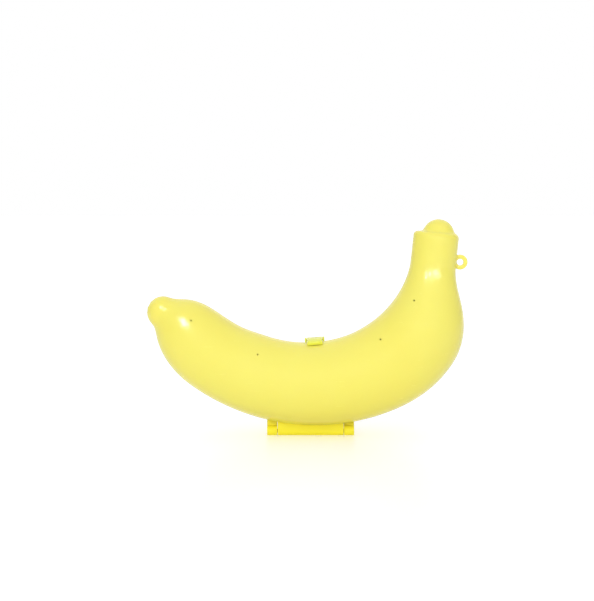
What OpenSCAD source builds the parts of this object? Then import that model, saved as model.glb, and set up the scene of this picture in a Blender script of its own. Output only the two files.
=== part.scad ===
// Hinged clamshell case shaped like a banana, standing on its hinge.
// X runs along the case, Y through its depth with the front at -Y, and Z is up.
// The origin is the middle of the hinge's flat foot. Sizes are in millimetres.

/* [Spine] */
// Radius of the long arc that the body follows
arc_radius = 105; // [98:1:112]
// Length of the spine from its lowest point to the blossom end
tail_length = 108.2; // [104:0.2:112]
// Length of the spine from its lowest point to the start of the bend
belly_length = 43.5; // [40:0.5:47]
// Length of the spine along the bend
bend_length = 64.5; // [60:0.5:70]
// Direction of the neck above the horizontal, in degrees
neck_heading = 84; // [80:1:88]
// Straight length of the neck
neck_length = 36; // [33:0.5:40]

/* [Sections] */
// Width across the curve at the tail
tail_width = 50; // [46:0.2:54]
// Width across the curve at the bend
bend_width = 55.4; // [50:0.2:59]
// Width across the neck
neck_width = 28.6; // [26:0.2:31]
// Depth of the closed case at the bend, both halves together
case_depth = 52; // [46:0.5:58]
// Distance along the spine from its lowest point back to the full tail width
tail_station = 64; // [58:1:68]
// Distance along the spine from its lowest point to the full bend width
bend_station = 75; // [70:1:80]
// Distance along the spine from its lowest point to the neck width
neck_station = 125; // [121:1:129]
// How blunt the blossom end is: 2 is an ellipse
tail_fullness = 2.15; // [2:0.05:2.6]
// Depth of the shallow dip along the tail's upper side
tail_dip = 2.4; // [0:0.1:3]
// Distance along the spine from its lowest point back to the deepest place of the dip
dip_station = 72; // [68:1:76]
// Length of the dip to each side of its deepest place
dip_reach = 36; // [30:1:40]
// Rounding of the neck's end
neck_round = 2.8; // [2.7:0.1:5]
// Wall of both shells
wall = 2; // [1.4:0.1:2.6]

/* [Ends] */
// Radius of the round knob at each end
knob_radius = 10; // [8:0.1:10.5]
// How far the blossom knob's centre lies back from the tail's end
tail_knob_inset = 3.1; // [2:0.1:5]
// How far the blossom knob's centre lies to the outside of the curve
tail_knob_offset = 5.6; // [4:0.1:6.4]
// How far the stem knob's centre lies back from the neck's end
stem_knob_inset = 1.5; // [1:0.1:3]
// How far the stem knob's centre lies to the outside of the curve
stem_knob_offset = 1.3; // [0.6:0.1:3]

/* [Rim] */
// Gap between the two rims when the case is shut
rim_gap = 0.3; // [0.2:0.05:0.5]
// How far the front shell's lip reaches into the rear shell
lip_reach = 2.2; // [1.5:0.1:3]
// Thickness of the lip
lip_wall = 1.2; // [0.8:0.1:1.6]
// Clearance between the lip and the rear shell
lip_clearance = 0.6; // [0.5:0.05:0.8]
// How far down inside the front shell the lip is rooted
lip_root = 4; // [3:0.1:5]
// How far below the rim the lip's shoulder lies
lip_shoulder = 0.6; // [0.4:0.1:1]
// How far the lip is sunk into the wall that carries it
lip_bite = 0.3; // [0.2:0.05:0.6]
// Where the lip stops, back from the blossom end
lip_tail_inset = 30; // [28:1:38]
// Where the lip stops, back from the neck's end
lip_stem_inset = 27; // [22:1:40]

/* [Vents] */
// Diameter of each vent hole
vent_diameter = 1; // [0.8:0.1:2]
// Distance of each vent along the spine from its lowest point
vent_stations = [-90.5, -39, 56, 100.5]; // [-95:0.5:105]
// Distance of each vent from the spine towards the inside of the curve
vent_laterals = [7.5, 14, 18, 10.5]; // [0:0.5:20]

/* [Hinge] */
// Length of the whole hinge
hinge_length = 55; // [48:0.5:58]
// Length of each rear knuckle, one at each end
end_knuckle = 6.4; // [5:0.1:8]
// Outer radius of the knuckles
knuckle_radius = 3.4; // [3:0.1:3.8]
// Width of the flat foot under the knuckles
foot_width = 4.4; // [3:0.1:5]
// Diameter of the hinge pin
hinge_pin_diameter = 2.5; // [2:0.1:3]
// Gap between knuckles along the pin
knuckle_gap = 0.25; // [0.2:0.05:0.6]
// Gap between a knuckle and the other half's shell
knuckle_clearance = 0.3; // [0.25:0.05:0.6]

/* [Latch] */
// Distance along the spine from its lowest point to the latch
latch_station = 3.5; // [-6:0.5:8]
// Width of the latch flap
flap_width = 9.6; // [8:0.2:13]
// Thickness of the latch flap
flap_wall = 1.4; // [1.2:0.1:2]
// Angle from the rim back to the latch's pivot
pivot_angle = 15; // [13:0.5:18]
// Radius of the latch's pivot barrel
barrel_radius = 1.6; // [1.4:0.1:2]
// Diameter of the latch pin
latch_pin_diameter = 1.2; // [1:0.1:1.6]
// Thickness of each bracket ear
ear_wall = 1.2; // [1.2:0.1:2.2]
// Gap between the flap and each ear
ear_gap = 0.2; // [0.15:0.05:0.4]
// Height of the catch ridge above the front shell
catch_height = 0.9; // [0.8:0.1:1.2]
// Length of the catch ridge
catch_length = 8.6; // [6:0.2:9.4]
// Angle from the rim to the catch ridge, round the section
catch_start = 11.5; // [10.5:0.5:13]
// Angle that the foot of the catch ridge takes up
catch_angle = 3.8; // [3:0.1:4.2]
// Angle by which the catch ridge narrows at each side
catch_taper = 0.8; // [0.4:0.1:1.2]
// Angle between the catch ridge and the flap's hook
hook_gap = 1.2; // [0.9:0.1:1.6]
// Angle that the flap's hook takes up
hook_angle = 3; // [2.4:0.1:3.4]
// Angle by which the bracket's ears spread forward of the pivot
ear_spread = 5; // [4:0.5:7]
// Angle from the pivot back to the bar that joins the ears
bar_gap = 6; // [5.5:0.5:8]
// Angle that the bar takes up
bar_angle = 4; // [3:0.5:6]
// Height of the bar above the rear shell
bar_height = 1.2; // [0.8:0.1:1.5]
// Clearance round the catch and under the latch
latch_clearance = 0.45; // [0.4:0.05:0.6]

/* [Key ring loop] */
// Outer radius of the loop
loop_radius = 4.7; // [4.1:0.1:5.2]
// Diameter of the loop's hole
loop_hole = 4.2; // [3.2:0.1:4.4]
// Thickness of the loop
loop_wall = 3; // [2.4:0.1:4]
// Distance along the neck from its end back to the loop
loop_inset = 17; // [15:0.5:20]
// How far the loop's centre stands out from the neck's side
loop_stand_off = 2.5; // [2.4:0.1:3]

/* [Hidden] */
$fn = 48;

// Facets: distance between rings, points round half a section, rings on each round end, steps of the bend
ring_step = 6;
section_points = 16;
end_rings = 9;
bend_steps = 16;
// Degrees between the points of the latch's curved outlines
profile_step = 1.5;
// First and last angles of the round ends' rings, which leave a small flat at each tip
tail_first_angle = 5;
neck_last_angle = 89;
// Radial clearances of a pin that is held and of one that turns
held_clearance = 0.02;
running_clearance = 0.06;
// Length by which cutting tools overrun what they cut
overrun = 1;

plastic = "#f7ec6b";
deep_plastic = "#f5d92b";
steel = "silver";

// Derived places
hinge_z = sqrt(pow(knuckle_radius, 2) - pow(foot_width / 2, 2));
hinge_line = [0, hinge_z];
spine_z = hinge_z + knuckle_radius + knuckle_clearance + half_width(0, 0);
bend_stop = belly_length + bend_length;
bend_end = bend_point(bend_stop);
stem_length = bend_stop + neck_length;
flap_offset = catch_height + latch_clearance;
pivot_offset = barrel_radius + latch_clearance;
bracket_width = flap_width + 2 * (ear_gap + ear_wall);
middle_knuckle = hinge_length - 2 * (end_knuckle + knuckle_gap);
// Pieces on the shell start inside its wall and are trimmed by its outside
weld_depth = 0.75 * wall;
web_height = knuckle_radius + knuckle_clearance + pow(hinge_length / 2, 2) / (2 * arc_radius) + 2 * wall;
bar_start = pivot_angle + bar_gap;
bar_end = bar_start + bar_angle;
catch_end = catch_start + catch_angle;
hook_start = catch_end + hook_gap;
hook_end = hook_start + hook_angle;

// Direction of the spine at the distance s from its lowest point: an arc, a bend that eases into the
// straight neck with no jump in its curvature, and the neck
function arc_heading(s) = s / arc_radius * 180 / PI;
function bend_heading(t) =
    (2 * t * t * t - 3 * t * t + 1) * arc_heading(belly_length)
    + (t * t * t - 2 * t * t + t) * arc_heading(bend_length)
    + (3 * t * t - 2 * t * t * t) * neck_heading;
function heading(s) =
    s <= belly_length ? arc_heading(s)
    : s <= bend_stop ? bend_heading((s - belly_length) / bend_length)
    : neck_heading;

// Point of the spine at s, as [x, z]
function direction(h) = [cos(h), sin(h)];
function arc_point(s) = [0, spine_z] + arc_radius * [sin(arc_heading(s)), 1 - cos(arc_heading(s))];
function bend_point(s) =
    let (step = (s - belly_length) / bend_steps)
    arc_point(belly_length)
    + step * [for (i = [1 : bend_steps]) 1]
        * [for (i = [1 : bend_steps]) direction(heading(belly_length + (i - 0.5) * step))];
function spine(s) =
    s <= belly_length ? arc_point(s)
    : s <= bend_stop ? bend_point(s)
    : bend_end + (s - bend_stop) * direction(neck_heading);

// Smooth step from 0 to 1, smooth passage from a to b, and how far s has come between two stations
function ease(t) = (1 - cos(180 * t)) / 2;
function blend(a, b, t) = a + (b - a) * ease(t);
function share(s, from, to) = (s - from) / (to - from);

// Depth of the dip in the tail's upper side at s
function dip(s) = tail_dip * ease(max(0, 1 - abs(s + dip_station) / dip_reach));

// Half the width and depth of the section at s, with its surface moved in by inset
function tail_share(s, inset) = (-s - tail_station) / (tail_length - inset - tail_station);
function plain_half_width(s, inset) =
    s < -tail_station ? (tail_width / 2 - inset) * sqrt(1 - pow(tail_share(s, inset), tail_fullness))
    : s < bend_station ? blend(tail_width, bend_width, share(s, -tail_station, bend_station)) / 2 - inset
    : s < neck_station ? blend(bend_width, neck_width, share(s, bend_station, neck_station)) / 2 - inset
    : s < stem_length - neck_round ? neck_width / 2 - inset
    : neck_width / 2 - neck_round + sqrt(pow(neck_round - inset, 2) - pow(s - stem_length + neck_round, 2));
function half_width(s, inset) = plain_half_width(s, inset) - dip(s) / 2;
function half_depth(s, inset) =
    half_width(s, inset) * (case_depth / 2 - inset) / (bend_width / 2 - inset);

// Rings of stations along the body, closer together on the two round ends
function stations(inset) = concat(
    [for (i = [0 : end_rings - 1])
        -tail_station - (tail_length - inset - tail_station)
            * cos(tail_first_angle + (90 - tail_first_angle) * i / end_rings)],
    body_stations(-tail_station, stem_length - neck_round),
    [for (i = [1 : end_rings])
        stem_length - neck_round + (neck_round - inset) * sin(neck_last_angle * i / end_rings)]);
function body_stations(from, to) =
    [for (i = [0 : ceil((to - from) / ring_step)]) from + (to - from) * i / ceil((to - from) / ring_step)];

// Point at s, from the middle of the section towards the inside of the curve by lateral, and y through the
// depth. The dip takes from the inside only, so the middle of the section moves by half of it.
function place(s, lateral, y) =
    let (p = spine(s), h = heading(s), across = lateral - dip(s) / 2)
    [p.x - across * sin(h), y, p.y + across * cos(h)];

// Section of the front half, and of the hollow in it, which runs on past the rim
function half_ring(s) =
    [for (j = [0 : section_points])
        let (a = 180 * j / section_points)
        place(s, half_width(s, 0) * cos(a), -max(rim_gap / 2, half_depth(s, 0) * sin(a)))];
function hollow_ring(s) = concat(
    [place(s, half_width(s, wall), overrun)],
    [for (j = [0 : section_points])
        let (a = 180 * j / section_points)
        place(s, half_width(s, wall) * cos(a), -half_depth(s, wall) * sin(a))],
    [place(s, -half_width(s, wall), overrun)]);

// Section of the lip along one side of the rim: a shoulder in the wall and a tongue past the rim
function lip_ring(s, side) =
    let (w = half_width(s, wall), out = w - lip_clearance, in = out - lip_wall)
    [for (c = [[in, -lip_root], [w + lip_bite, -lip_root], [w + lip_bite, -lip_shoulder],
               [out, -lip_shoulder], [out, lip_reach], [in, lip_reach]])
        place(s, side * c.x, c.y)];

// Closed solid through rings that all have the same number of points
module loft(rings, flip = false) {
    n = len(rings[0]);
    last = len(rings) - 1;
    sides = [for (i = [0 : last - 1], j = [0 : n - 1])
        let (k = (j + 1) % n)
        each [[i * n + j, (i + 1) * n + k, i * n + k], [i * n + j, (i + 1) * n + j, (i + 1) * n + k]]];
    caps = [for (j = [1 : n - 2])
        each [[0, j, j + 1], [last * n, last * n + j + 1, last * n + j]]];
    faces = concat(sides, caps);
    polyhedron(
        points = [for (r = rings) each r],
        faces = flip ? [for (f = faces) [f[0], f[2], f[1]]] : faces);
}

// Outside of the front half without its knobs
module body_half() loft([for (s = stations(0)) half_ring(s)]);

// Room inside the front half
module hollow_half() loft([for (s = stations(wall)) hollow_ring(s)]);

// Moves its children to a place on the spine plane
module at_place(s, lateral, y = 0) translate(place(s, lateral, y)) children();

// Centres of the two end knobs
module at_knobs() {
    at_place(-tail_length + tail_knob_inset, -tail_knob_offset) children();
    at_place(stem_length - stem_knob_inset, -stem_knob_offset) children();
}

// Front half of an end knob
module half_knob() intersection() {
    sphere(r = knob_radius);
    translate([-knob_radius, -knob_radius, -knob_radius])
        cube([2 * knob_radius, knob_radius - rim_gap / 2, 2 * knob_radius]);
}

module vents() for (i = [0 : len(vent_stations) - 1])
    at_place(vent_stations[i], vent_laterals[i], -rim_gap) rotate([90, 0, 0])
        cylinder(d = vent_diameter, h = case_depth);

// One half of the case: a hollow half banana with a hollow half knob at each end
module half_shell() difference() {
    union() {
        body_half();
        at_knobs() half_knob();
    }
    hollow_half();
    at_knobs() sphere(r = knob_radius - wall);
    vents();
}

module lip() {
    from = lip_tail_inset - tail_length;
    to = stem_length - lip_stem_inset;
    rims = body_stations(from, to);
    loft([for (s = rims) lip_ring(s, 1)], flip = true);
    loft([for (s = rims) lip_ring(s, -1)]);
}

module to_rear() mirror([0, 1, 0]) children();

module rear_shell() color(plastic) to_rear() half_shell();

module front_shell() color(plastic) {
    half_shell();
    lip();
}

// Extrudes a YZ outline along X, centred on x
module along_x(length, x = 0)
    translate([x - length / 2, 0, 0]) rotate([90, 0, 90]) linear_extrude(length) children();

// Round rod along X through the YZ point at
module rod(radius, length, at, x = 0)
    translate([x - length / 2, at.x, at.y]) rotate([0, 90, 0]) cylinder(r = radius, h = length);

// Knuckle on the hinge line with its flat foot, and the web that joins it to the front shell
module knuckle(length, x, bore_radius) difference() {
    union() {
        rod(knuckle_radius, length, hinge_line, x);
        along_x(length, x) translate([-knuckle_radius, hinge_z])
            square([knuckle_radius - rim_gap, web_height]);
    }
    translate([x - length / 2 - overrun, -knuckle_radius - overrun, -knuckle_radius])
        cube([length + 2 * overrun, 2 * (knuckle_radius + overrun), knuckle_radius]);
    rod(bore_radius, length + 2 * overrun, hinge_line, x);
    body_half();
}

module front_hinge_leaf() color(deep_plastic)
    knuckle(middle_knuckle, 0, hinge_pin_diameter / 2 + running_clearance);

module rear_hinge_leaf() color(deep_plastic) to_rear()
    for (side = [-1, 1])
        knuckle(end_knuckle, side * (hinge_length - end_knuckle) / 2,
                hinge_pin_diameter / 2 + held_clearance);

module hinge_pin() color(steel) rod(hinge_pin_diameter / 2, hinge_length, hinge_line);

// The latch sits in a frame on the rim, tilted with it. Its outlines lie in that frame's YZ plane and are
// given by an angle round the spine, from the rim towards the front, and a height above the shell.
latch_width = half_width(latch_station, 0);
latch_slope = (half_width(latch_station + 1, 0) - half_width(latch_station - 1, 0)) / 2;
latch_tilt = heading(latch_station) + atan(latch_slope / (1 - latch_width / arc_radius));
function above_shell(angle, height) =
    let (r = 1 / sqrt(pow(cos(angle) / latch_width, 2) + pow(sin(angle) / half_depth(latch_station, 0), 2)))
    [-(r + height) * sin(angle), (r + height) * cos(angle) - latch_width];
function arc_points(from, to, height) =
    let (n = ceil(abs(to - from) / profile_step))
    [for (i = [0 : n]) above_shell(from + (to - from) * i / n, height)];
pivot = above_shell(-pivot_angle, pivot_offset);

module at_latch() at_place(latch_station, latch_width) rotate([0, -latch_tilt, 0]) children();

// Curved flap from the barrel over the rim, with a hook behind the catch at its end
module latch_flap() color(plastic) at_latch() difference() {
    union() {
        along_x(flap_width) polygon(concat(
            arc_points(-pivot_angle, hook_start, flap_offset),
            arc_points(hook_start, hook_end, latch_clearance),
            arc_points(hook_end, -pivot_angle, flap_offset + flap_wall)));
        rod(barrel_radius, flap_width, pivot);
    }
    rod(latch_pin_diameter / 2 + running_clearance, flap_width + 2 * overrun, pivot);
}

// Bracket on the rear shell: two ears for the pin and a low bar behind the barrel
module latch_bracket() color(plastic) difference() {
    at_latch() difference() {
        union() {
            for (side = [-1, 1]) {
                x = side * (bracket_width - ear_wall) / 2;
                rod(barrel_radius, ear_wall, pivot, x);
                along_x(ear_wall, x) polygon([
                    pivot + [-barrel_radius, 0],
                    above_shell(-pivot_angle + ear_spread, -weld_depth),
                    above_shell(-bar_end, -weld_depth),
                    above_shell(-bar_end, bar_height),
                    pivot + [barrel_radius, 0]]);
            }
            along_x(bracket_width) polygon(concat(
                arc_points(-bar_start, -bar_end, bar_height),
                arc_points(-bar_end, -bar_start, -weld_depth)));
        }
        rod(latch_pin_diameter / 2 + held_clearance, bracket_width + 2 * overrun, pivot);
    }
    to_rear() body_half();
}

module latch_pin() color(steel) at_latch() rod(latch_pin_diameter / 2, bracket_width, pivot);

module latch_catch() color(plastic) difference() {
    at_latch() along_x(catch_length) polygon([
        above_shell(catch_start, -weld_depth),
        above_shell(catch_start + catch_taper, catch_height),
        above_shell(catch_end - catch_taper, catch_height),
        above_shell(catch_end, -weld_depth)]);
    body_half();
}

// Loop for a key ring on the outside of the neck, in the rear half
module keyring_loop() color(plastic) difference() {
    s = stem_length - loop_inset;
    lateral = -half_width(s, 0) - loop_stand_off;
    at_place(s, lateral, rim_gap + loop_wall) rotate([90, 0, 0]) cylinder(r = loop_radius, h = loop_wall);
    at_place(s, lateral, rim_gap + loop_wall + overrun) rotate([90, 0, 0])
        cylinder(d = loop_hole, h = loop_wall + 2 * overrun);
    to_rear() body_half();
}

rear_shell();
front_shell();
rear_hinge_leaf();
front_hinge_leaf();
hinge_pin();
latch_bracket();
latch_pin();
latch_flap();
latch_catch();
keyring_loop();
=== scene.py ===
import math
import bpy
import bmesh
import numpy as np
from mathutils import Matrix, Vector


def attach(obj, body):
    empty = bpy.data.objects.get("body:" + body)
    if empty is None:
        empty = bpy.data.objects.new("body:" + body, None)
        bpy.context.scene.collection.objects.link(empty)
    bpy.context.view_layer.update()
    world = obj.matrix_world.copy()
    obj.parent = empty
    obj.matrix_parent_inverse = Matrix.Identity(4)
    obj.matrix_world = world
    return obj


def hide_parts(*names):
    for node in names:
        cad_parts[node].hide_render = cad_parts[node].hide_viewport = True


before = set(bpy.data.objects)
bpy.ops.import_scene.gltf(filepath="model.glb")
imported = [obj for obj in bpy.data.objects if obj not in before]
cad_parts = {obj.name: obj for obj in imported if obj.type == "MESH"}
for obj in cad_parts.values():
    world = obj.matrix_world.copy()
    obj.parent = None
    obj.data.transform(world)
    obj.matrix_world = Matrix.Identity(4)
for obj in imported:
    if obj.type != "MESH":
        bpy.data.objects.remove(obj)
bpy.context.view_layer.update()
mm = 0.001

# the banana's own curve, in millimetres; s runs along it from its lowest point towards the stem
caseForm = {
    "arcRadius": 105.0,
    "tailLength": 108.2,
    "bellyLength": 43.5,
    "bendLength": 64.5,
    "neckHeading": 84.0,
    "neckLength": 36.0,
    "spineHeight": 32.4749,  # sets the belly on the hinge
    "tailWidth": 50.0,
    "bendWidth": 55.4,
    "neckWidth": 28.6,
    "caseDepth": 52.0,
    "tailStation": 64.0,
    "bendStation": 75.0,
    "neckStation": 125.0,
    "tailFullness": 2.15,
    "tailDip": 2.4,  # depth of the shallow dip in the tail's upper side
    "dipStation": 72.0,
    "dipReach": 36.0,
    "smoothFrom": 25.0,  # between these two places the inside of the bend is one smooth curve
    "smoothTo": 117.0,
    "smoothStart": 0.28,  # how long it keeps its first and its last direction, as shares of its chord
    "smoothEnd": 0.4,
    "neckRound": 2.8,
    "wall": 2.0,
    "curveSteps": 1601,
    "trimSteps": 401,
}
bendStop = caseForm["bellyLength"] + caseForm["bendLength"]
stemLength = bendStop + caseForm["neckLength"]
neckAngle = math.radians(caseForm["neckHeading"])


def headingAt(s):
    f = caseForm
    t = np.clip((s - f["bellyLength"]) / f["bendLength"], 0, 1)
    start = f["bellyLength"] / f["arcRadius"]
    turn = f["bendLength"] / f["arcRadius"]
    bend = (2 * t**3 - 3 * t**2 + 1) * start + (t**3 - 2 * t**2 + t) * turn
    bend = bend + (3 * t**2 - 2 * t**3) * neckAngle
    return np.where(s <= f["bellyLength"], s / f["arcRadius"], bend)


def arcAt(s):
    r = caseForm["arcRadius"]
    return r * np.sin(s / r), caseForm["spineHeight"] + r * (1 - np.cos(s / r))


# the bend has no closed formula, so it is summed once in small steps
bendS = np.linspace(caseForm["bellyLength"], bendStop, caseForm["curveSteps"])
bendTurn = headingAt((bendS[1:] + bendS[:-1]) / 2)
bendStart = arcAt(caseForm["bellyLength"])
bendX = bendStart[0] + np.append(0, np.cumsum(np.cos(bendTurn) * (bendS[1] - bendS[0])))
bendZ = bendStart[1] + np.append(0, np.cumsum(np.sin(bendTurn) * (bendS[1] - bendS[0])))


def spineAt(s):
    arcX, arcZ = arcAt(s)
    past = np.maximum(s - bendStop, 0)
    curveX = np.interp(s, bendS, bendX) + past * math.cos(neckAngle)
    curveZ = np.interp(s, bendS, bendZ) + past * math.sin(neckAngle)
    onArc = s <= caseForm["bellyLength"]
    return np.where(onArc, arcX, curveX), np.where(onArc, arcZ, curveZ)


def easeAt(t):
    return (1 - np.cos(np.pi * np.clip(t, 0, 1))) / 2


def plainHalfWidth(s, inset):
    f = caseForm
    share = np.clip((-s - f["tailStation"]) / (f["tailLength"] - inset - f["tailStation"]), 0, 1)
    tail = (f["tailWidth"] / 2 - inset) * np.sqrt(1 - share ** f["tailFullness"])
    toBend = easeAt((s + f["tailStation"]) / (f["bendStation"] + f["tailStation"]))
    toNeck = easeAt((s - f["bendStation"]) / (f["neckStation"] - f["bendStation"]))
    width = f["tailWidth"] + (f["bendWidth"] - f["tailWidth"]) * toBend
    width = width + (f["neckWidth"] - f["bendWidth"]) * toNeck
    return np.where(s < -f["tailStation"], tail, width / 2 - inset)


def bendTrim():
    # what the inside of the bend gives up or gains to run in one smooth curve
    f = caseForm
    s = np.linspace(f["smoothFrom"], f["smoothTo"], f["trimSteps"])
    x, z = spineAt(s)
    h = headingAt(s)
    w = plainHalfWidth(s, 0)
    edge = np.stack([x - w * np.sin(h), z + w * np.cos(h)], 1)
    ways = edge[[1, -1]] - edge[[0, -2]]
    ways *= np.linalg.norm(edge[-1] - edge[0]) / np.linalg.norm(ways, axis=1)[:, None]
    held = edge[0] + ways[0] * f["smoothStart"], edge[-1] - ways[1] * f["smoothEnd"]
    t = np.linspace(0, 1, f["trimSteps"])[:, None]
    curve = (1 - t) ** 3 * edge[0] + 3 * t * (1 - t) ** 2 * held[0]
    curve += 3 * t**2 * (1 - t) * held[1] + t**3 * edge[-1]
    trim = []
    for i in range(len(s)):
        away = curve - (x[i], z[i])
        along = away @ (math.cos(h[i]), math.sin(h[i]))
        lateral = away @ (-math.sin(h[i]), math.cos(h[i]))
        trim.append(w[i] - np.interp(0, along, lateral))
    return s, np.array(trim)


trimS, trimDepth = bendTrim()


def dipAt(s):
    # what the inside gives up: the dip in the tail and the trim along the bend
    tail = caseForm["tailDip"] * easeAt(1 - np.abs(s + caseForm["dipStation"]) / caseForm["dipReach"])
    return tail + np.interp(s, trimS, trimDepth)


def placeAt(s, lateral, y):
    # lateral runs from the middle of the section to the inside of the curve, y through the depth
    x, z = spineAt(s)
    h = headingAt(s)
    across = lateral - dipAt(s) / 2  # so the outside stays where it is
    return np.stack(np.broadcast_arrays(x - across * np.sin(h), y, z + across * np.cos(h)), -1)


def halfWidthAt(s, inset):
    return np.maximum(plainHalfWidth(s, inset) - dipAt(s) / 2, 0)


def depthShare(inset):
    return (caseForm["caseDepth"] / 2 - inset) / (caseForm["bendWidth"] / 2 - inset)


def halfDepthAt(s, halfWidth, inset):
    # smoothing the inside of the bend leaves the depth as it is
    return (halfWidth + np.interp(s, trimS, trimDepth) / 2) * depthShare(inset)


# small mesh helpers; meshes are drawn in millimetres and scaled to metres when they are finished
meshForm = {
    "weld": 2e-4,
    "sliver": 1e-5,
    "sharpAngle": 40.0,
    "circlePoints": 48,
    "edgeTurns": (90, 60, 30, 0),  # places of the points on a rounded end, in degrees
}


def tidyMesh(bm):
    bmesh.ops.remove_doubles(bm, verts=bm.verts, dist=meshForm["weld"])
    bmesh.ops.dissolve_degenerate(bm, edges=bm.edges, dist=meshForm["sliver"])
    loose = [e for e in bm.edges if not e.link_faces]
    bmesh.ops.delete(bm, geom=loose, context="EDGES")
    bmesh.ops.recalc_face_normals(bm, faces=bm.faces)


def smoothPiece(piece, sharpAngle):
    piece.data.shade_smooth()
    piece.data.set_sharp_from_angle(angle=math.radians(sharpAngle))


def pieceFrom(bm, name, sharpAngle=meshForm["sharpAngle"]):
    tidyMesh(bm)
    mesh = bpy.data.meshes.new(name)
    bm.to_mesh(mesh)
    bm.free()
    piece = bpy.data.objects.new(name, mesh)
    bpy.context.collection.objects.link(piece)
    smoothPiece(piece, sharpAngle)
    return piece


def cutAway(piece, tool, sharpAngle):
    # the tool is used up
    step = piece.modifiers.new("cut", "BOOLEAN")
    step.operation = "DIFFERENCE"
    step.solver = "EXACT"
    step.object = tool
    bpy.context.view_layer.update()
    made = bpy.data.meshes.new_from_object(piece.evaluated_get(bpy.context.evaluated_depsgraph_get()))
    piece.modifiers.remove(step)
    bm = bmesh.new()
    bm.from_mesh(made)
    tidyMesh(bm)
    bm.to_mesh(piece.data)
    bm.free()
    smoothPiece(piece, sharpAngle)
    bpy.data.meshes.remove(made)
    bpy.data.objects.remove(tool)
    return piece


def loftRings(bm, rings, bore=None, closed=False):
    # quads between rings; the end rings are capped, round a bore given as (y, z, radius) if there is one
    rows = [[bm.verts.new(p) for p in ring] for ring in rings]
    pairs = list(zip(rows, rows[1:]))
    if closed:
        pairs.append((rows[-1], rows[0]))
    if bore:
        circle = circleAt(bore[:2], bore[2])
        ends = rings[0], rings[-1]
        pairs.append([[bm.verts.new((ring[0][0], y, z)) for y, z in circle] for ring in ends])
    for a, b in pairs:
        for j in range(len(a)):
            k = (j + 1) % len(a)
            bm.faces.new((a[j], a[k], b[k], b[j]))
    if bore:
        for rim, hole in zip((rows[0], rows[-1]), pairs[-1]):
            loops = [bm.edges.get((loop[j - 1], loop[j])) for loop in (rim, hole) for j in range(len(loop))]
            bmesh.ops.triangle_fill(bm, edges=loops, use_beauty=True)
    elif not closed:
        bm.faces.new(rows[0][::-1])
        bm.faces.new(rows[-1])


def roundCorners(corners, radius, steps=5, sharpest=25, arcShare=0.48, clear=0.02):
    # swaps each sharp corner of a closed outline for a small arc, along the path where its points are close;
    # arcShare is the most of a side that one arc takes, clear keeps other points off the ends of the arcs
    p = np.array(corners, float)
    n = len(p)
    ahead = np.roll(p, -1, 0) - p
    length = np.linalg.norm(ahead, axis=1)
    ahead /= length[:, None]
    along = np.append(0, np.cumsum(length))
    turn = np.arccos(np.clip(np.sum(np.roll(ahead, 1, 0) * ahead, axis=1), -1, 1))
    sharp = [i for i in range(n) if turn[i] > math.radians(sharpest)]
    gaps = [(along[j] - along[i]) % along[-1] or along[-1] for i, j in zip(sharp, sharp[1:] + sharp[:1])]
    room = [arcShare * min(gaps[k - 1], gaps[k]) for k in range(len(sharp))]
    reach = [min(radius * math.tan(turn[i] / 2), most) for i, most in zip(sharp, room)]

    def onPath(distance):
        distance %= along[-1]
        i = min(int(np.searchsorted(along, distance, side="right")) - 1, n - 1)
        return p[i] + ahead[i] * (distance - along[i])

    made = []
    for k, i in enumerate(sharp):
        start, end = onPath(along[i] - reach[k]), onPath(along[i] + reach[k])
        for t in np.linspace(0, 1, steps + 1):
            made.append((1 - t) ** 2 * start + 2 * t * (1 - t) * p[i] + t * t * end)
        last = gaps[k] - reach[(k + 1) % len(sharp)]
        for q in range(1, n):
            far = (along[(i + q) % n] - along[i]) % along[-1]
            if far >= last:
                break
            if far > reach[k] + clear:
                made.append(p[(i + q) % n])
    return np.array(made)


def insetOutline(points, amount, leastStretch=0.6):
    # moves an outline inwards; leastStretch keeps sharp corners from running far in
    back = points - np.roll(points, 1, 0)
    ahead = np.roll(points, -1, 0) - points
    back = back / np.linalg.norm(back, axis=1)[:, None]
    ahead = ahead / np.linalg.norm(ahead, axis=1)[:, None]
    mean = back + ahead
    mean = mean / np.maximum(np.linalg.norm(mean, axis=1), 1e-6)[:, None]
    area = np.sum(points[:, 0] * np.roll(points[:, 1], -1) - np.roll(points[:, 0], -1) * points[:, 1])
    side = np.stack([-mean[:, 1], mean[:, 0]], 1) * np.sign(area)
    stretch = np.maximum(np.sum(mean * ahead, axis=1), leastStretch)
    return points + side * (amount / stretch)[:, None]


def extrudedRings(outlineAt, start, end, edge, between=1):
    # outlines in YZ run along X, with rounded edges at both ends
    turns = np.radians(meshForm["edgeTurns"])
    ends = [(edge * (1 - math.sin(t)), edge * (1 - math.cos(t))) for t in turns]
    middle = [(x - start, 0) for x in np.linspace(start + edge, end - edge, between + 1)[1:-1]]
    far = [(end - start - x, inset) for x, inset in reversed(ends)]
    rings = []
    for x, inset in ends + middle + far:
        outline = insetOutline(outlineAt(start + x), inset)
        rings.append([(start + x, y, z) for y, z in outline])
    return rings


def circleAt(centre, radius, count=meshForm["circlePoints"]):
    turn = np.arange(count) * 2 * math.pi / count
    return np.stack([centre[0] + radius * np.cos(turn), centre[1] + radius * np.sin(turn)], 1)


def rodAlongX(name, centre, radius, start, end, edge, count=meshForm["circlePoints"]):
    bm = bmesh.new()
    outline = circleAt(centre, radius, count)
    loftRings(bm, extrudedRings(lambda x: outline, start, end, edge))
    return pieceFrom(bm, name)


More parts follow.
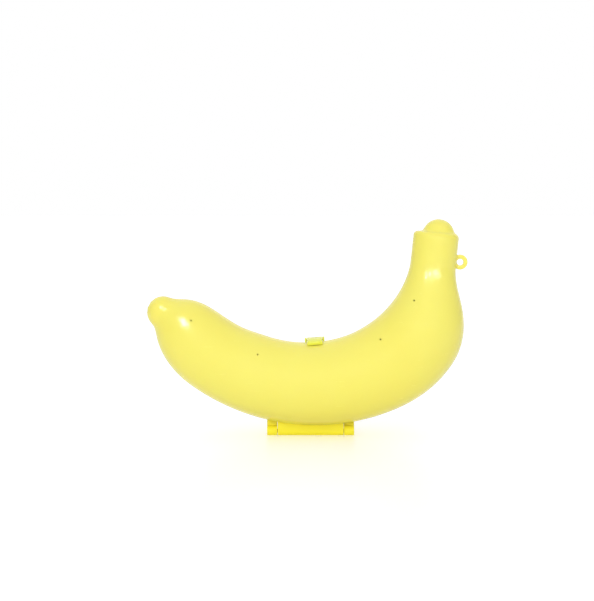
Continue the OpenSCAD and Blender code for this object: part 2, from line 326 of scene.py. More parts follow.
# the two half shells
shellForm = {
    "knobRadius": 10.0,
    "tailKnob": (-105.1, -5.6),
    "stemKnob": (142.5, -1.3),
    "stemKnobLook": 6.0,  # how far below the stem knob the point lies from which it is blended in
    "tailBlend": 6.0,  # reach of the fillet around each knob
    "stemBlend": 3.5,
    "rimGap": 0.3,
    "outerEdge": 0.45,
    "outerTurns": (30, 60, 90),  # places of the points on the rounded edge, in degrees
    "innerEdge": 0.25,
    "innerTurns": (90, 45),
    "lipReach": 2.2,
    "lipWall": 1.2,
    "lipClearance": 0.6,
    "lipShoulder": 0.6,
    "lipRootAngle": 11.0,
    "lipFrom": -78.2,
    "lipTo": 117.0,
    "lipSoft": 0.3,  # rounding of the lip's edge
    "lipRootShare": 0.7,  # how far down to its root the lip's inside face runs
    "lipRowsFrom": -95.0,  # outside these places the lip's rows lie flat on the wall
    "lipRowsTo": 118.0,
    "tailRings": 52,
    "bodyRings": 130,
    "curlRings": 9,
    "capRings": 30,
    "outerPoints": 64,
    "innerPoints": 40,
    "sharpAngle": 42.0,
}
ventForm = {
    "diameter": 1.0,
    "stations": (-90.5, -39.0, 56.0, 100.5),
    "laterals": (7.5, 14.0, 17.6, 10.5),
    "cutFrom": 1.0,  # reach of the cutters through the depth
    "cutTo": 30.0,
    "points": 20,
}


def shellStations(inset):
    # place along the curve and half width of every ring, from the blossom tip to the middle of the neck's top
    f = caseForm
    turn = np.radians(np.linspace(0, 90, shellForm["tailRings"], endpoint=False))
    tail = -f["tailStation"] - (f["tailLength"] - inset - f["tailStation"]) * np.cos(turn)
    shoulder = stemLength - f["neckRound"]
    body = np.linspace(-f["tailStation"], shoulder, shellForm["bodyRings"], endpoint=False)
    s = np.concatenate([tail, body])
    w = halfWidthAt(s, inset)
    curl = np.radians(np.linspace(0, 90, shellForm["curlRings"], endpoint=False))
    flat = f["neckWidth"] / 2 - f["neckRound"]
    shrink = np.linspace(1, 0, shellForm["capRings"])
    top = np.full(len(shrink), stemLength - inset)
    s = np.concatenate([s, shoulder + (f["neckRound"] - inset) * np.sin(curl), top])
    w = np.concatenate([w, flat + (f["neckRound"] - inset) * np.cos(curl), flat * shrink])
    return s, w


def blendedKnob(points, look, knob, radius, reach):
    # pushes the points out from look until they lie on the knob, with a fillet where knob and body meet
    away = points - look
    near = np.linalg.norm(away, axis=-1)
    ray = away / np.maximum(near, 1e-9)[..., None]
    along = ray @ (knob - look)
    far = along + np.sqrt(np.maximum(along**2 + radius**2 - np.sum((knob - look) ** 2), 0))
    share = np.maximum(reach - np.abs(near - far), 0) / reach
    return look + ray * (np.maximum(near, far) + share**2 * reach / 4)[..., None]


def shellSkin(inset, count, edge):
    # one surface of the front half, as rings of points, with its rim set back for the rounded edge
    s, w = shellStations(inset)
    a = np.pi * np.arange(count + 1) / count
    lateral = w[:, None] * np.cos(a)
    y = -halfDepthAt(s, w, inset)[:, None] * np.sin(a)
    skin = placeAt(s[:, None], lateral, y)
    radius = shellForm["knobRadius"] - inset
    tailS, tailLateral = (np.float64(v) for v in shellForm["tailKnob"])
    stemS, stemLateral = (np.float64(v) for v in shellForm["stemKnob"])
    tailKnob = placeAt(tailS, tailLateral, 0.0)
    stemKnob = placeAt(stemS, stemLateral, 0.0)
    stemLook = placeAt(stemS - shellForm["stemKnobLook"], stemLateral, 0.0)
    skin = blendedKnob(skin, tailKnob, tailKnob, radius, shellForm["tailBlend"])
    skin = blendedKnob(skin, stemLook, stemKnob, radius, shellForm["stemBlend"])
    skin[..., 1] = -np.sqrt(skin[..., 1] ** 2 + (shellForm["rimGap"] / 2 + edge) ** 2)
    return skin, s, w


def rimStrip(outer, inner):
    # rounded outer edge, flat rim and rounded inner edge between two rows of points
    f = shellForm
    across = inner - outer
    across[:, 1] = 0
    across /= np.maximum(np.linalg.norm(across, axis=1), 1e-9)[:, None]
    strip = []
    for edge, start, way, turns in ((f["outerEdge"], outer, across, f["outerTurns"]),
                                    (f["innerEdge"], inner, -across, f["innerTurns"])):
        for t in np.radians(turns):
            row = start + way * edge * (1 - math.cos(t))
            row[:, 1] = -f["rimGap"] / 2 - edge * (1 - math.sin(t))
            strip.append(row)
    return strip


def lipRows(s, w, side, amount):
    # rows from the inner edge down the wall; amount raises them into the lip that reaches past the rim
    f = shellForm
    root = math.radians(f["lipRootAngle"])
    out = w - f["lipClearance"]
    back = out - f["lipWall"]
    wallDepth = halfDepthAt(s, w, caseForm["wall"])
    deep = -wallDepth * math.sin(root)
    top = np.full_like(w, f["lipReach"])
    low = np.full_like(w, -f["lipShoulder"])
    soft = f["lipSoft"]
    raised = [(w, low), (out, low), (out, top - soft), (out - soft, top)]
    raised += [(back + soft, top), (back, top - soft), (back, deep * f["lipRootShare"])]
    rows = []
    for k, (lateral, y) in enumerate(raised):
        a = root * (k + 1) / (len(raised) + 1)
        wallY = -np.hypot(wallDepth * math.sin(a), f["rimGap"] / 2 + f["innerEdge"])
        onWall = placeAt(s, side * w * math.cos(a), wallY)
        rows.append(onWall + (placeAt(s, side * lateral, y) - onWall) * amount[:, None])
    return rows


def halfShell(name, withLip):
    f = shellForm
    outer, _, _ = shellSkin(0.0, f["outerPoints"], f["outerEdge"])
    inner, s, w = shellSkin(caseForm["wall"], f["innerPoints"], f["innerEdge"])
    amount = np.where((s > f["lipFrom"]) & (s < f["lipTo"]), 1.0, 0.0) * withLip
    rimFar = rimStrip(outer[:, -1], inner[:, -1])
    rimNear = rimStrip(outer[:, 0], inner[:, 0])
    # the lip's rows lie between the inner edge and the first row of the wall, away from the knobs
    onBody = (s > f["lipRowsFrom"]) & (s < f["lipRowsTo"])
    lipFar = lipRows(s, w, -1, amount)
    lipNear = lipRows(s, w, 1, amount)
    skip = math.ceil(f["lipRootAngle"] / 180 * f["innerPoints"])
    for k in range(len(lipFar)):
        t = (k + 1) / (len(lipFar) + 1) * skip
        j = int(t)
        for rows, order in ((lipFar, inner[:, ::-1]), (lipNear, inner)):
            onWall = order[:, j] + (order[:, j + 1] - order[:, j]) * (t - j)
            rows[k] = np.where(onBody[:, None], rows[k], onWall)
    columns = [outer[:, j] for j in range(f["outerPoints"] + 1)] + rimFar + [inner[:, -1]] + lipFar
    columns += [inner[:, j] for j in range(f["innerPoints"] - skip, skip - 1, -1)]
    columns += lipNear[::-1] + [inner[:, 0]] + rimNear[::-1]
    grid = np.stack(columns, 1)
    if not withLip:
        grid = grid * np.array([1, -1, 1])  # the rear half is the front's mirror image
    rings, around = grid.shape[:2]
    index = np.arange(rings * around).reshape(rings, around)
    ahead = np.roll(index, -1, 1)
    faces = np.stack([index[:-1], ahead[:-1], ahead[1:], index[1:]], -1).reshape(-1, 4)
    mesh = bpy.data.meshes.new(name)
    mesh.from_pydata(grid.reshape(-1, 3).tolist(), [], faces.tolist())
    bm = bmesh.new()
    bm.from_mesh(mesh)
    bpy.data.meshes.remove(mesh)
    piece = pieceFrom(bm, name, f["sharpAngle"])
    cutter = bmesh.new()
    side = -1 if withLip else 1
    ends = side * ventForm["cutFrom"], side * ventForm["cutTo"]
    for station, lateral in zip(ventForm["stations"], ventForm["laterals"]):
        x, _, z = placeAt(np.float64(station), lateral, 0.0)
        ring = circleAt((x, z), ventForm["diameter"] / 2, ventForm["points"])
        loftRings(cutter, [[(u, y, v) for u, v in ring] for y in ends])
    return cutAway(piece, pieceFrom(cutter, name + "Vents"), f["sharpAngle"])


rearShell = halfShell("rearShellMoulding", 0)
frontShell = halfShell("frontShellMoulding", 1)
print("shells:", len(rearShell.data.polygons), "and", len(frontShell.data.polygons), "faces")

# the hinge under the belly
hingeForm = {
    "length": 55.0,
    "endKnuckle": 6.4,
    "gap": 0.25,
    "radius": 3.4,
    "axisHeight": 2.5923,  # less than the radius, so that the foot is flat
    "webFrom": 0.3,
    "sunk": 0.8,  # how far the web runs into the shell's wall
    "edge": 0.3,
    "corner": 0.5,
    "pin": 2.5,
    "pinEdge": 0.25,
    "runningFit": 0.06,
    "heldFit": 0.02,
    "barrelPoints": 30,
    "footPoints": 12,
    "lengthRings": 24,
}


def bellyHeight(x, y):
    # underside of the shell above the hinge
    f = caseForm
    w = halfWidthAt(np.float64(0), 0)
    h = math.asin(x / (f["arcRadius"] + w))
    lateral = w * math.sqrt(1 - (y / (w * depthShare(0))) ** 2)
    return f["spineHeight"] + f["arcRadius"] - (f["arcRadius"] + lateral) * math.cos(h)


def knuckleOutline(x):
    # round barrel with a flat foot, and the web up to the shell
    f = hingeForm
    r, z0 = f["radius"], f["axisHeight"]
    foot = math.degrees(math.asin(z0 / r))
    top = 90 + math.degrees(math.asin(f["webFrom"] / r))
    turns = np.radians(np.linspace(-foot, top, f["barrelPoints"]))
    barrel = [(r * math.cos(a), z0 + r * math.sin(a)) for a in turns]
    web = [(-f["webFrom"], bellyHeight(x, f["webFrom"]) + f["sunk"]), (-r, bellyHeight(x, r) + f["sunk"])]
    turns = np.radians(np.linspace(180, 180 + foot, f["footPoints"]))
    below = [(r * math.cos(a), z0 + r * math.sin(a)) for a in turns]
    return roundCorners(barrel + web + below, f["corner"])


def knuckle(name, start, end, fit):
    f = hingeForm
    bm = bmesh.new()
    bore = (0, f["axisHeight"], f["pin"] / 2 + fit)
    loftRings(bm, extrudedRings(knuckleOutline, start, end, f["edge"], f["lengthRings"]), bore)
    return pieceFrom(bm, name)


def mergePieces(pieces, name):
    bm = bmesh.new()
    for piece in pieces:
        bm.from_mesh(piece.data)
        bpy.data.objects.remove(piece)
    return pieceFrom(bm, name)


def mirroredInDepth(piece):
    piece.data.transform(Matrix.Diagonal((1, -1, 1, 1)))
    piece.data.flip_normals()
    return piece


half = hingeForm["length"] / 2
inside = half - hingeForm["endKnuckle"]
ends = [knuckle("knuckleLeft", -half, -inside, hingeForm["heldFit"]),
        knuckle("knuckleRight", inside, half, hingeForm["heldFit"])]
rearLeaf = mirroredInDepth(mergePieces(ends, "rearHingeKnuckles"))
reach = inside - hingeForm["gap"]
frontLeaf = knuckle("frontHingeKnuckle", -reach, reach, hingeForm["runningFit"])
axis = (0, hingeForm["axisHeight"])
hingePin = rodAlongX("hingePinRod", axis, hingeForm["pin"] / 2, -half, half, hingeForm["pinEdge"])
print("hinge: leaves and pin")

# the latch on top of the belly, drawn in a frame on the rim and given by an angle round the section
latchForm = {
    "station": 3.5,
    "flapWidth": 9.6,
    "flapWall": 1.4,
    "pivotAngle": 15.0,
    "barrelRadius": 1.6,
    "pin": 1.2,
    "earWall": 1.2,
    "earGap": 0.2,
    "catchHeight": 0.9,
    "catchLength": 8.6,
    "catchStart": 11.5,
    "catchAngle": 3.8,
    "catchTaper": 0.8,
    "hookGap": 1.2,
    "hookAngle": 3.0,
    "earSpread": 5.0,
    "barGap": 6.0,
    "barAngle": 4.0,
    "barHeight": 1.2,
    "clearance": 0.45,
    "sunk": 1.5,
    "edge": 0.3,
    "corner": 0.6,
    "flapCorner": 0.5,
    "catchCorner": 0.4,
    "barOverlap": 0.6,  # how far the bar runs into each ear
    "pinEdge": 0.2,
    "runningFit": 0.06,
    "heldFit": 0.02,
    "bendStep": 0.5,  # spacing of the points that follow the shell
    "barrelPoints": 40,
    "earPoints": 24,
    "pinPoints": 32,
}
latchS = np.float64(latchForm["station"])
latchWidth = float(halfWidthAt(latchS, 0))
latchDepth = latchWidth * depthShare(0)
latchSlope = float(halfWidthAt(latchS + 1, 0) - halfWidthAt(latchS - 1, 0)) / 2
latchTilt = float(headingAt(latchS)) + math.atan(latchSlope / (1 - latchWidth / caseForm["arcRadius"]))
latchSeat = Matrix.Translation(placeAt(latchS, latchWidth, 0.0)) @ Matrix.Rotation(-latchTilt, 4, "Y")


def aboveShell(angle, height):
    a = math.radians(angle)
    r = 1 / math.sqrt((math.cos(a) / latchWidth) ** 2 + (math.sin(a) / latchDepth) ** 2)
    return (-(r + height) * math.sin(a), (r + height) * math.cos(a) - latchWidth)


def overShell(corners, radius=latchForm["corner"]):
    # an outline whose corners are (angle, height), rounded, then bent round the shell
    perDegree = latchWidth * math.pi / 180
    flat = roundCorners([(a * perDegree, h) for a, h in corners], radius)
    bent = []
    for (u, h), (u2, h2) in zip(flat, np.roll(flat, -1, 0)):
        count = max(1, math.ceil(math.hypot(u2 - u, h2 - h) / latchForm["bendStep"]))
        for i in range(count):
            bent.append(aboveShell((u + (u2 - u) * i / count) / perDegree, h + (h2 - h) * i / count))
    return bent


def latchPlate(bm, outline, start, end, bore=None):
    loftRings(bm, extrudedRings(lambda x: np.array(outline), start, end, latchForm["edge"]), bore)


f = latchForm
pivot = np.array(aboveShell(-f["pivotAngle"], f["barrelRadius"] + f["clearance"]))
catchEnd = f["catchStart"] + f["catchAngle"]
hookStart = catchEnd + f["hookGap"]
hookEnd = hookStart + f["hookAngle"]
flapHeight = f["catchHeight"] + f["clearance"]
halfFlap = f["flapWidth"] / 2


def flapOutline():
    # curved plate with a hook at its end, run into the barrel that turns on the pin
    plate = overShell([(-f["pivotAngle"], flapHeight), (hookStart, flapHeight), (hookStart, f["clearance"]),
                       (hookEnd, f["clearance"]), (hookEnd, flapHeight + f["flapWall"]),
                       (-f["pivotAngle"], flapHeight + f["flapWall"])])
    plate = np.array(plate)
    outside = np.linalg.norm(plate - pivot, axis=1) > f["barrelRadius"]
    outside &= plate[:, 0] < pivot[0]
    first = int(np.argmax(outside & ~np.roll(outside, 1)))
    plate = np.roll(plate, -first, 0)[: int(outside.sum())]
    leave, meet = (math.atan2(*(q - pivot)[::-1]) for q in (plate[-1], plate[0]))
    turns = np.linspace(leave, leave - (leave - meet) % (2 * math.pi), f["barrelPoints"])[1:-1]
    barrel = [pivot + f["barrelRadius"] * np.array((math.cos(a), math.sin(a))) for a in turns]
    return roundCorners(list(plate) + barrel, f["flapCorner"])


bm = bmesh.new()
latchPlate(bm, flapOutline(), -halfFlap, halfFlap, (*pivot, f["pin"] / 2 + f["runningFit"]))
latchFlap = pieceFrom(bm, "latchFlapMoulding")

barStart = f["pivotAngle"] + f["barGap"]
barEnd = barStart + f["barAngle"]
earInside = halfFlap + f["earGap"]
earOutside = earInside + f["earWall"]
turns = np.radians(np.linspace(0, 180, f["earPoints"]))
earTop = [tuple(pivot + f["barrelRadius"] * np.array((math.cos(a), math.sin(a)))) for a in turns]
earFoot = [aboveShell(-f["pivotAngle"] + f["earSpread"], -f["sunk"]), aboveShell(-barEnd, -f["sunk"])]
earOutline = roundCorners(earTop + earFoot + [aboveShell(-barEnd, f["barHeight"])], f["corner"])
bm = bmesh.new()
for start, end in ((-earOutside, -earInside), (earInside, earOutside)):
    latchPlate(bm, earOutline, start, end, (*pivot, f["pin"] / 2 + f["heldFit"]))
barCorners = [(-barStart, f["barHeight"]), (-barStart, -f["sunk"])]
barCorners += [(-barEnd, -f["sunk"]), (-barEnd, f["barHeight"])]
latchPlate(bm, overShell(barCorners), -earInside - f["barOverlap"], earInside + f["barOverlap"])
latchBracket = pieceFrom(bm, "latchBracketEars")

bm = bmesh.new()
ridge = [(f["catchStart"], -f["sunk"]), (f["catchStart"] + f["catchTaper"], f["catchHeight"])]
ridge += [(catchEnd - f["catchTaper"], f["catchHeight"]), (catchEnd, -f["sunk"])]
latchPlate(bm, overShell(ridge, f["catchCorner"]), -f["catchLength"] / 2, f["catchLength"] / 2)
latchCatch = pieceFrom(bm, "latchCatchRidge")
latchPin = rodAlongX("latchPinRod", pivot, f["pin"] / 2, -earOutside, earOutside,
                     f["pinEdge"], f["pinPoints"])
for piece in (latchFlap, latchBracket, latchCatch, latchPin):
    piece.data.transform(latchSeat)
print("latch: flap, bracket, catch and pin")

# the loop for a key ring on the outside of the neck
loopForm = {
    "radius": 4.7,
    "hole": 4.2,
    "thickness": 3.0,
    "inset": 17.0,
    "standOff": 2.5,
    "edge": 0.7,
    "from": 0.3,
    "points": 64,
}


def keyringLoop():
    f = loopForm
    s = np.float64(stemLength - f["inset"])
    x, _, z = placeAt(s, -halfWidthAt(s, 0) - f["standOff"], 0.0)
    corners = [(f["hole"] / 2, f["from"]), (f["radius"], f["from"]),
               (f["radius"], f["from"] + f["thickness"]), (f["hole"] / 2, f["from"] + f["thickness"])]
    section = roundCorners(corners, f["edge"])
    bm = bmesh.new()
    turns = np.arange(f["points"]) * 2 * math.pi / f["points"]
    rings = [[(x + r * math.cos(t), y, z + r * math.sin(t)) for r, y in section] for t in turns]
    loftRings(bm, rings, closed=True)
    return pieceFrom(bm, "keyringLoopEye")


keyLoop = keyringLoop()
print("key ring loop")


# shader helpers
def addNode(tree, kind, **values):
    node = tree.nodes.new(kind)
    for key, value in values.items():
        setattr(node, key, value)
    return node


def newGroup(name, inputs, outputs):
    group = bpy.data.node_groups.new(name, "ShaderNodeTree")
    for label, value in inputs:
        socket = group.interface.new_socket(name=label, in_out="INPUT", socket_type="NodeSocketFloat")
        socket.default_value = value
    for label in outputs:
        group.interface.new_socket(name=label, in_out="OUTPUT", socket_type="NodeSocketFloat")
    return group, group.nodes.new("NodeGroupInput"), group.nodes.new("NodeGroupOutput")


def sums(tree, how, a, b):
    # a Math node on two sockets or numbers
    node = addNode(tree, "ShaderNodeMath", operation=how)
    for slot, value in zip(node.inputs, (a, b)):
        if isinstance(value, (int, float)):
            slot.default_value = value
        else:
            tree.links.new(value, slot)
    return node.outputs[0]


def ramped(tree, value, low, high):
    node = addNode(tree, "ShaderNodeMapRange", interpolation_type="SMOOTHSTEP")
    tree.links.new(value, node.inputs["Value"])
    node.inputs["From Min"].default_value = low
    node.inputs["From Max"].default_value = high
    return node.outputs["Result"]


def noiseAt(tree, where, scale, detail=2.0):
    node = addNode(tree, "ShaderNodeTexNoise")
    node.inputs["Detail"].default_value = detail
    tree.links.new(where, node.inputs["Vector"])
    if isinstance(scale, (int, float)):
        node.inputs["Scale"].default_value = scale
    else:
        tree.links.new(scale, node.inputs["Scale"])
    return node.outputs["Fac"]


# the faint texture of a moulded face: fine grain, slow ripples and flow patches
skinForm = {
    "grainScale": 1500.0,
    "rippleScale": 90.0,
    "rippleShare": 0.5,
    "rippleDetail": 1.0,
    "patchScale": 16.0,
    "patchDetail": 3.0,
    "patchRange": (0.3, 0.7),
}


def mouldedSkinGroup():
    f = skinForm
    inputs = [("Grain Scale", f["grainScale"]), ("Ripple Scale", f["rippleScale"]),
              ("Ripple Share", f["rippleShare"])]
    group, ins, outs = newGroup("mouldedSkin", inputs, ["Height", "Grain", "Patches"])
    where = addNode(group, "ShaderNodeTexCoord").outputs["Object"]
    grain = noiseAt(group, where, ins.outputs["Grain Scale"])
    ripple = noiseAt(group, where, ins.outputs["Ripple Scale"], f["rippleDetail"])
    height = sums(group, "ADD", grain, sums(group, "MULTIPLY", ripple, ins.outputs["Ripple Share"]))
    patches = ramped(group, noiseAt(group, where, f["patchScale"], f["patchDetail"]), *f["patchRange"])
    group.links.new(height, outs.inputs["Height"])
    group.links.new(grain, outs.inputs["Grain"])
    group.links.new(patches, outs.inputs["Patches"])
    return group


# pale rubbed edges, hair-fine scuffs and a little dust on what faces up
wearForm = {
    "edgeStart": 0.52,  # pointiness at which an edge begins to look rubbed
    "edgeFull": 0.6,
    "breakScale": 220.0,  # breaks the rubbed edges up
    "breakRange": (0.35, 0.65),
    "scuffScale": 60.0,
    "scuffDetail": 4.0,
    "scuffStretch": (1.0, 4.0, 14.0),
    "scuffTurn": (0.3, 0.5, 0.2),
    "scuffRange": (0.62, 0.72),
    "dustScale": 900.0,
    "dustDetail": 1.0,
    "dustRange": (0.64, 0.72),
    "dustFacing": (0.55, 1.0),  # how far up a face looks where dust begins and is full
}


def handledWearGroup():
    f = wearForm
    inputs = [("Edge Start", f["edgeStart"]), ("Edge Full", f["edgeFull"]), ("Scuff Scale", f["scuffScale"])]
    group, ins, outs = newGroup("handledWear", inputs, ["Edge", "Scuffs", "Dust"])
    where = addNode(group, "ShaderNodeTexCoord").outputs["Object"]
    shape = addNode(group, "ShaderNodeNewGeometry")
    rub = addNode(group, "ShaderNodeMapRange")
    group.links.new(shape.outputs["Pointiness"], rub.inputs["Value"])
    group.links.new(ins.outputs["Edge Start"], rub.inputs["From Min"])
    group.links.new(ins.outputs["Edge Full"], rub.inputs["From Max"])
    breaks = ramped(group, noiseAt(group, where, f["breakScale"]), *f["breakRange"])
    edge = sums(group, "MULTIPLY", rub.outputs["Result"], breaks)
    stretch = addNode(group, "ShaderNodeMapping")
    stretch.inputs["Scale"].default_value = f["scuffStretch"]
    stretch.inputs["Rotation"].default_value = f["scuffTurn"]
    group.links.new(where, stretch.inputs["Vector"])
    hairs = noiseAt(group, stretch.outputs["Vector"], ins.outputs["Scuff Scale"], f["scuffDetail"])
    scuffs = ramped(group, hairs, *f["scuffRange"])
    facing = addNode(group, "ShaderNodeSeparateXYZ")
    group.links.new(shape.outputs["Normal"], facing.inputs[0])
    up = ramped(group, facing.outputs["Z"], *f["dustFacing"])
    specks = ramped(group, noiseAt(group, where, f["dustScale"], f["dustDetail"]), *f["dustRange"])
    dust = sums(group, "MULTIPLY", up, specks)
    group.links.new(edge, outs.inputs["Edge"])
    group.links.new(scuffs, outs.inputs["Scuffs"])
    group.links.new(dust, outs.inputs["Dust"])
    return group


mouldedSkin = mouldedSkinGroup()
handledWear = handledWearGroup()


def colourMix(tree, factor, a, b):
    node = addNode(tree, "ShaderNodeMix", data_type="RGBA")
    tree.links.new(factor, node.inputs["Factor"])
    for slot, value in ((node.inputs[6], a), (node.inputs[7], b)):  # a Mix node's two colours
        if isinstance(value, tuple):
            slot.default_value = (*value, 1.0)
        else:
            tree.links.new(value, slot)
    return node.outputs[2]


# colours are linear; rough is the roughness before grain and scuffs
plasticFinishes = {
    "shellYellow": {
        "colour": (0.94, 0.85, 0.165), "flow": (0.935, 0.83, 0.145), "rubbed": (0.95, 0.9, 0.3),
        "rough": 0.16, "bump": 0.05, "glow": 0.2,
    },
    # painted light: the hinge gets a brighter, deeper copy of the shell's yellow, which lifts it out of the
    # shade under the belly and paints in yellow light bounced between hinge and belly
    "hingeLitYellow": {
        "colour": (0.98, 0.87, 0.045), "flow": (0.975, 0.855, 0.038), "rubbed": (0.98, 0.9, 0.12),
        "rough": 0.28, "bump": 0.06, "glow": 0.1,
    },
    # painted shade: the latch gets a darker, greener copy of the shell's yellow, standing for the shade on
    # its top where it rises over the rim
    "latchShadedYellow": {
        "colour": (0.84, 0.87, 0.085), "flow": (0.83, 0.85, 0.07), "rubbed": (0.93, 0.91, 0.3),
        "rough": 0.16, "bump": 0.05, "glow": 0.25,
    },
}
# what all three yellows share
plasticForm = {
    "rubShare": 0.5,
    "dustShare": 0.12,
    "dustColour": (0.8, 0.79, 0.74),
    "grainRough": 0.08,
    "scuffRough": 0.08,
    "bumpDepth": 0.0004,
    "ior": 1.49,
    "specular": 0.35,
    "glowRadius": (1.0, 0.8, 0.3),
    "glowDepth": 0.003,
}


def roughnessOf(tree, skin, wear, finish):
    # the finish's own roughness, with its shares of grain and scuffs on top
    grain = sums(tree, "MULTIPLY", skin.outputs["Grain"], finish["grainRough"])
    scuffs = sums(tree, "MULTIPLY", wear.outputs["Scuffs"], finish["scuffRough"])
    return sums(tree, "ADD", sums(tree, "ADD", grain, finish["rough"]), scuffs)


def plasticMaterial(name):
    f = plasticForm | plasticFinishes[name]
    material = bpy.data.materials.new(name)
    material.use_nodes = True
    tree = material.node_tree
    shader = tree.nodes["Principled BSDF"]
    skin = addNode(tree, "ShaderNodeGroup", node_tree=mouldedSkin)
    wear = addNode(tree, "ShaderNodeGroup", node_tree=handledWear)
    base = colourMix(tree, skin.outputs["Patches"], f["colour"], f["flow"])
    rubbed = sums(tree, "MULTIPLY", wear.outputs["Edge"], f["rubShare"])
    base = colourMix(tree, rubbed, base, f["rubbed"])
    dusty = sums(tree, "MULTIPLY", wear.outputs["Dust"], f["dustShare"])
    base = colourMix(tree, dusty, base, f["dustColour"])
    bump = addNode(tree, "ShaderNodeBump")
    bump.inputs["Strength"].default_value = f["bump"]
    bump.inputs["Distance"].default_value = f["bumpDepth"]
    tree.links.new(skin.outputs["Height"], bump.inputs["Height"])
    tree.links.new(base, shader.inputs["Base Color"])
    tree.links.new(roughnessOf(tree, skin, wear, f), shader.inputs["Roughness"])
    tree.links.new(bump.outputs["Normal"], shader.inputs["Normal"])
    shader.inputs["IOR"].default_value = f["ior"]
    shader.inputs["Specular IOR Level"].default_value = f["specular"]
    shader.inputs["Subsurface Weight"].default_value = f["glow"]
    shader.inputs["Subsurface Radius"].default_value = f["glowRadius"]
    shader.inputs["Subsurface Scale"].default_value = f["glowDepth"]
    return material


steelFinish = {
    "colour": (0.62, 0.62, 0.61),
    "dull": (0.5, 0.5, 0.49),
    "rough": 0.17,
    "grainScale": 3000.0,
    "grainRough": 0.15,
    "scuffRough": 0.1,
}


def steelMaterial(name):
    f = steelFinish
    material = bpy.data.materials.new(name)
    material.use_nodes = True
    tree = material.node_tree
    shader = tree.nodes["Principled BSDF"]
    skin = addNode(tree, "ShaderNodeGroup", node_tree=mouldedSkin)
    skin.inputs["Grain Scale"].default_value = f["grainScale"]
    wear = addNode(tree, "ShaderNodeGroup", node_tree=handledWear)
    base = colourMix(tree, skin.outputs["Patches"], f["colour"], f["dull"])
    tree.links.new(base, shader.inputs["Base Color"])
    tree.links.new(roughnessOf(tree, skin, wear, f), shader.inputs["Roughness"])
    shader.inputs["Metallic"].default_value = 1.0
    return material


shellYellow = plasticMaterial("shellYellow")
# the hinge's material is a lit copy of the shell's yellow: painted light
hingeLitYellow = plasticMaterial("hingeLitYellow")
# the latch's material is a shaded copy of the shell's yellow: painted shade
latchShadedYellow = plasticMaterial("latchShadedYellow")
pinSteel = steelMaterial("pinSteel")

for piece, node, body, slot, material in (
    (rearShell, "rear_shell", "rear_half", "shell_yellow", shellYellow),
    (frontShell, "front_shell", "front_half", "shell_yellow", shellYellow),
    (rearLeaf, "rear_hinge_leaf", "rear_half", "hinge_yellow", hingeLitYellow),
    (frontLeaf, "front_hinge_leaf", "front_half", "hinge_yellow", hingeLitYellow),
    (hingePin, "hinge_pin", "rear_half", "pin_steel", pinSteel),
    (latchBracket, "latch_bracket", "rear_half", "latch_yellow", latchShadedYellow),
    (latchPin, "latch_pin", "rear_half", "pin_steel", pinSteel),
    (latchFlap, "latch_flap", "latch", "latch_yellow", latchShadedYellow),
    (latchCatch, "latch_catch", "front_half", "latch_yellow", latchShadedYellow),
    (keyLoop, "keyring_loop", "rear_half", "shell_yellow", shellYellow),
):
    piece.data.transform(Matrix.Scale(mm, 4))
    piece.data.materials.append(material)
    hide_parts(node)
    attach(piece, body)

# pale floor, soft light and the photo's view
studio = {
    "floorSide": 4.0,
    "floorBack": 8.0,
    "floorColour": (0.97, 0.97, 0.965),
    "floorRough": 0.34,
    "floorLift": 0.23,  # brings the bare floor up to white in the picture
    "liftColour": (0.82, 0.84, 1.0),  # cool, against the case's yellow cast
    "ambient": 0.765,
    "sideDrop": 0.45,  # how much darker the room is to the left and right
    "sideFrom": 0.45,
    "sideFull": 0.95,
    # soft fills, from the front and weaker from behind: direction, strength, spread
    "fills": {
        "frontFill": ((-0.12, -0.92, 0.37), 1.1, 40.0),
        "backFill": ((0.12, 0.85, 0.5), 0.5, 60.0),
    },
}
# small bright cards that show only as soft spots on the gloss; directions are azimuth and elevation
cardSets = {
    "tailCard": {
        "faced": (-0.07, -0.02, 0.069), "distance": 0.26,
        "size": (0.05, 0.05), "power": 0.0011, "beam": 10.0,
        "directions": ((-24.0, 40.0), (-33.0, 42.0), (-15.0, 39.0), (-25.0, 32.0), (-23.0, 48.0)),
    },
    "neckCard": {
        "faced": (0.076, -0.014, 0.103), "distance": 0.26,
        "size": (0.07, 0.016), "power": 0.00125, "beam": 14.0,
        "directions": ((-28.0, 21.0), (-14.0, 18.5), (0.0, 16.0), (14.0, 13.5), (28.0, 11.0)),
    },
}
photoView = {
    "distance": 1.2,
    "elevation": 3.5,
    "target": (-0.0086, 0.0, 0.0851),
    "pictureHeight": 601,
    "pixel": 0.00063,  # one pixel of the photo on the object
    "sensor": 36.0,
    "clip": (0.05, 50.0),
}


def seenAsWhite(tree):
    # 1 where the camera, a mirror or glass looks, so that all three show the same white
    path = addNode(tree, "ShaderNodeLightPath")
    seen = sums(tree, "MAXIMUM", path.outputs["Is Camera Ray"], path.outputs["Is Glossy Ray"])
    return sums(tree, "MAXIMUM", seen, path.outputs["Is Transmission Ray"])


def roomLight(tree):
    # plain light for the object, dimmer to the left and right, and white behind it
    f = studio
    toward = addNode(tree, "ShaderNodeSeparateXYZ")
    tree.links.new(addNode(tree, "ShaderNodeTexCoord").outputs["Generated"], toward.inputs[0])
    sideways = ramped(tree, sums(tree, "ABSOLUTE", toward.outputs["X"], 0.0), f["sideFrom"], f["sideFull"])
    share = sums(tree, "SUBTRACT", 1.0, sums(tree, "MULTIPLY", sideways, f["sideDrop"]))
    level = sums(tree, "ADD", sums(tree, "MULTIPLY", seenAsWhite(tree), 1.0 - f["ambient"]), f["ambient"])
    inView = addNode(tree, "ShaderNodeLightPath").outputs["Is Camera Ray"]
    return sums(tree, "MAXIMUM", sums(tree, "MULTIPLY", share, level), inView)


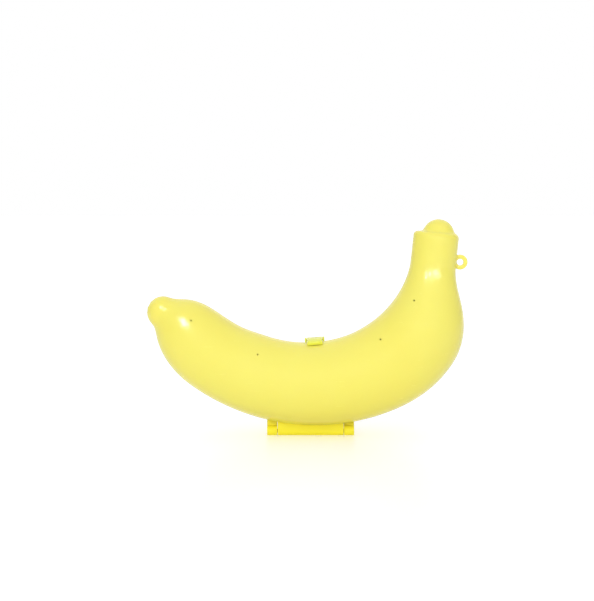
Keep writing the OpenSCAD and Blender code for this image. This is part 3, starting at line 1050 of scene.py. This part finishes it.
def addCard(name, cardSet, azimuth, elevation):
    card = bpy.data.lights.new(name, "AREA")
    card.shape = "ELLIPSE"
    card.size, card.size_y = cardSet["size"]
    card.energy = cardSet["power"]
    card.spread = math.radians(cardSet["beam"])
    lamp = bpy.data.objects.new(name, card)
    level = math.cos(elevation)
    outward = Vector((math.sin(azimuth) * level, -math.cos(azimuth) * level, math.sin(elevation)))
    lamp.location = Vector(cardSet["faced"]) + outward * cardSet["distance"]
    lamp.rotation_euler = outward.to_track_quat("Z", "Y").to_euler()
    lamp.visible_camera = lamp.visible_diffuse = False
    bpy.context.collection.objects.link(lamp)


def buildStudio():
    f = studio
    floorMesh = bpy.data.meshes.new("floor")
    side, back = f["floorSide"], f["floorBack"]
    corners = [(-side, -side, 0), (side, -side, 0), (side, back, 0), (-side, back, 0)]
    floorMesh.from_pydata(corners, [], [(0, 1, 2, 3)])
    floor = bpy.data.objects.new("floor", floorMesh)
    bpy.context.collection.objects.link(floor)
    paint = bpy.data.materials.new("paleFloor")
    paint.use_nodes = True
    shader = paint.node_tree.nodes["Principled BSDF"]
    shader.inputs["Base Color"].default_value = (*f["floorColour"], 1)
    shader.inputs["Roughness"].default_value = f["floorRough"]
    shader.inputs["Emission Color"].default_value = (*f["liftColour"], 1)
    lift = sums(paint.node_tree, "MULTIPLY", seenAsWhite(paint.node_tree), f["floorLift"])
    paint.node_tree.links.new(lift, shader.inputs["Emission Strength"])
    floorMesh.materials.append(paint)
    world = bpy.data.worlds.new("softRoom")
    bpy.context.scene.world = world
    world.use_nodes = True
    sky = world.node_tree.nodes["Background"]
    sky.inputs["Color"].default_value = (1, 1, 1, 1)
    world.node_tree.links.new(roomLight(world.node_tree), sky.inputs["Strength"])
    for name, (direction, strength, spread) in f["fills"].items():
        fill = bpy.data.lights.new(name, "SUN")
        fill.energy = strength
        fill.angle = math.radians(spread)
        lamp = bpy.data.objects.new(name, fill)
        bpy.context.collection.objects.link(lamp)
        lamp.rotation_euler = Vector(direction).to_track_quat("Z", "Y").to_euler()
        lamp.visible_glossy = False
    for name, cardSet in cardSets.items():
        for azimuth, elevation in cardSet["directions"]:
            addCard(name, cardSet, math.radians(azimuth), math.radians(elevation))


def buildCamera():
    f = photoView
    lens = bpy.data.cameras.new("photoCamera")
    lens.sensor_width = f["sensor"]
    lens.lens = f["sensor"] * f["distance"] / (f["pictureHeight"] * f["pixel"])
    lens.clip_start, lens.clip_end = f["clip"]
    camera = bpy.data.objects.new("photoCamera", lens)
    bpy.context.collection.objects.link(camera)
    e = math.radians(f["elevation"])
    back = Vector((0, -math.cos(e), math.sin(e)))
    camera.location = Vector(f["target"]) + back * f["distance"]
    camera.rotation_euler = back.to_track_quat("Z", "Y").to_euler()
    bpy.context.scene.camera = camera


buildStudio()
buildCamera()
bpy.context.scene.view_settings.view_transform = "Standard"
print("studio and camera")
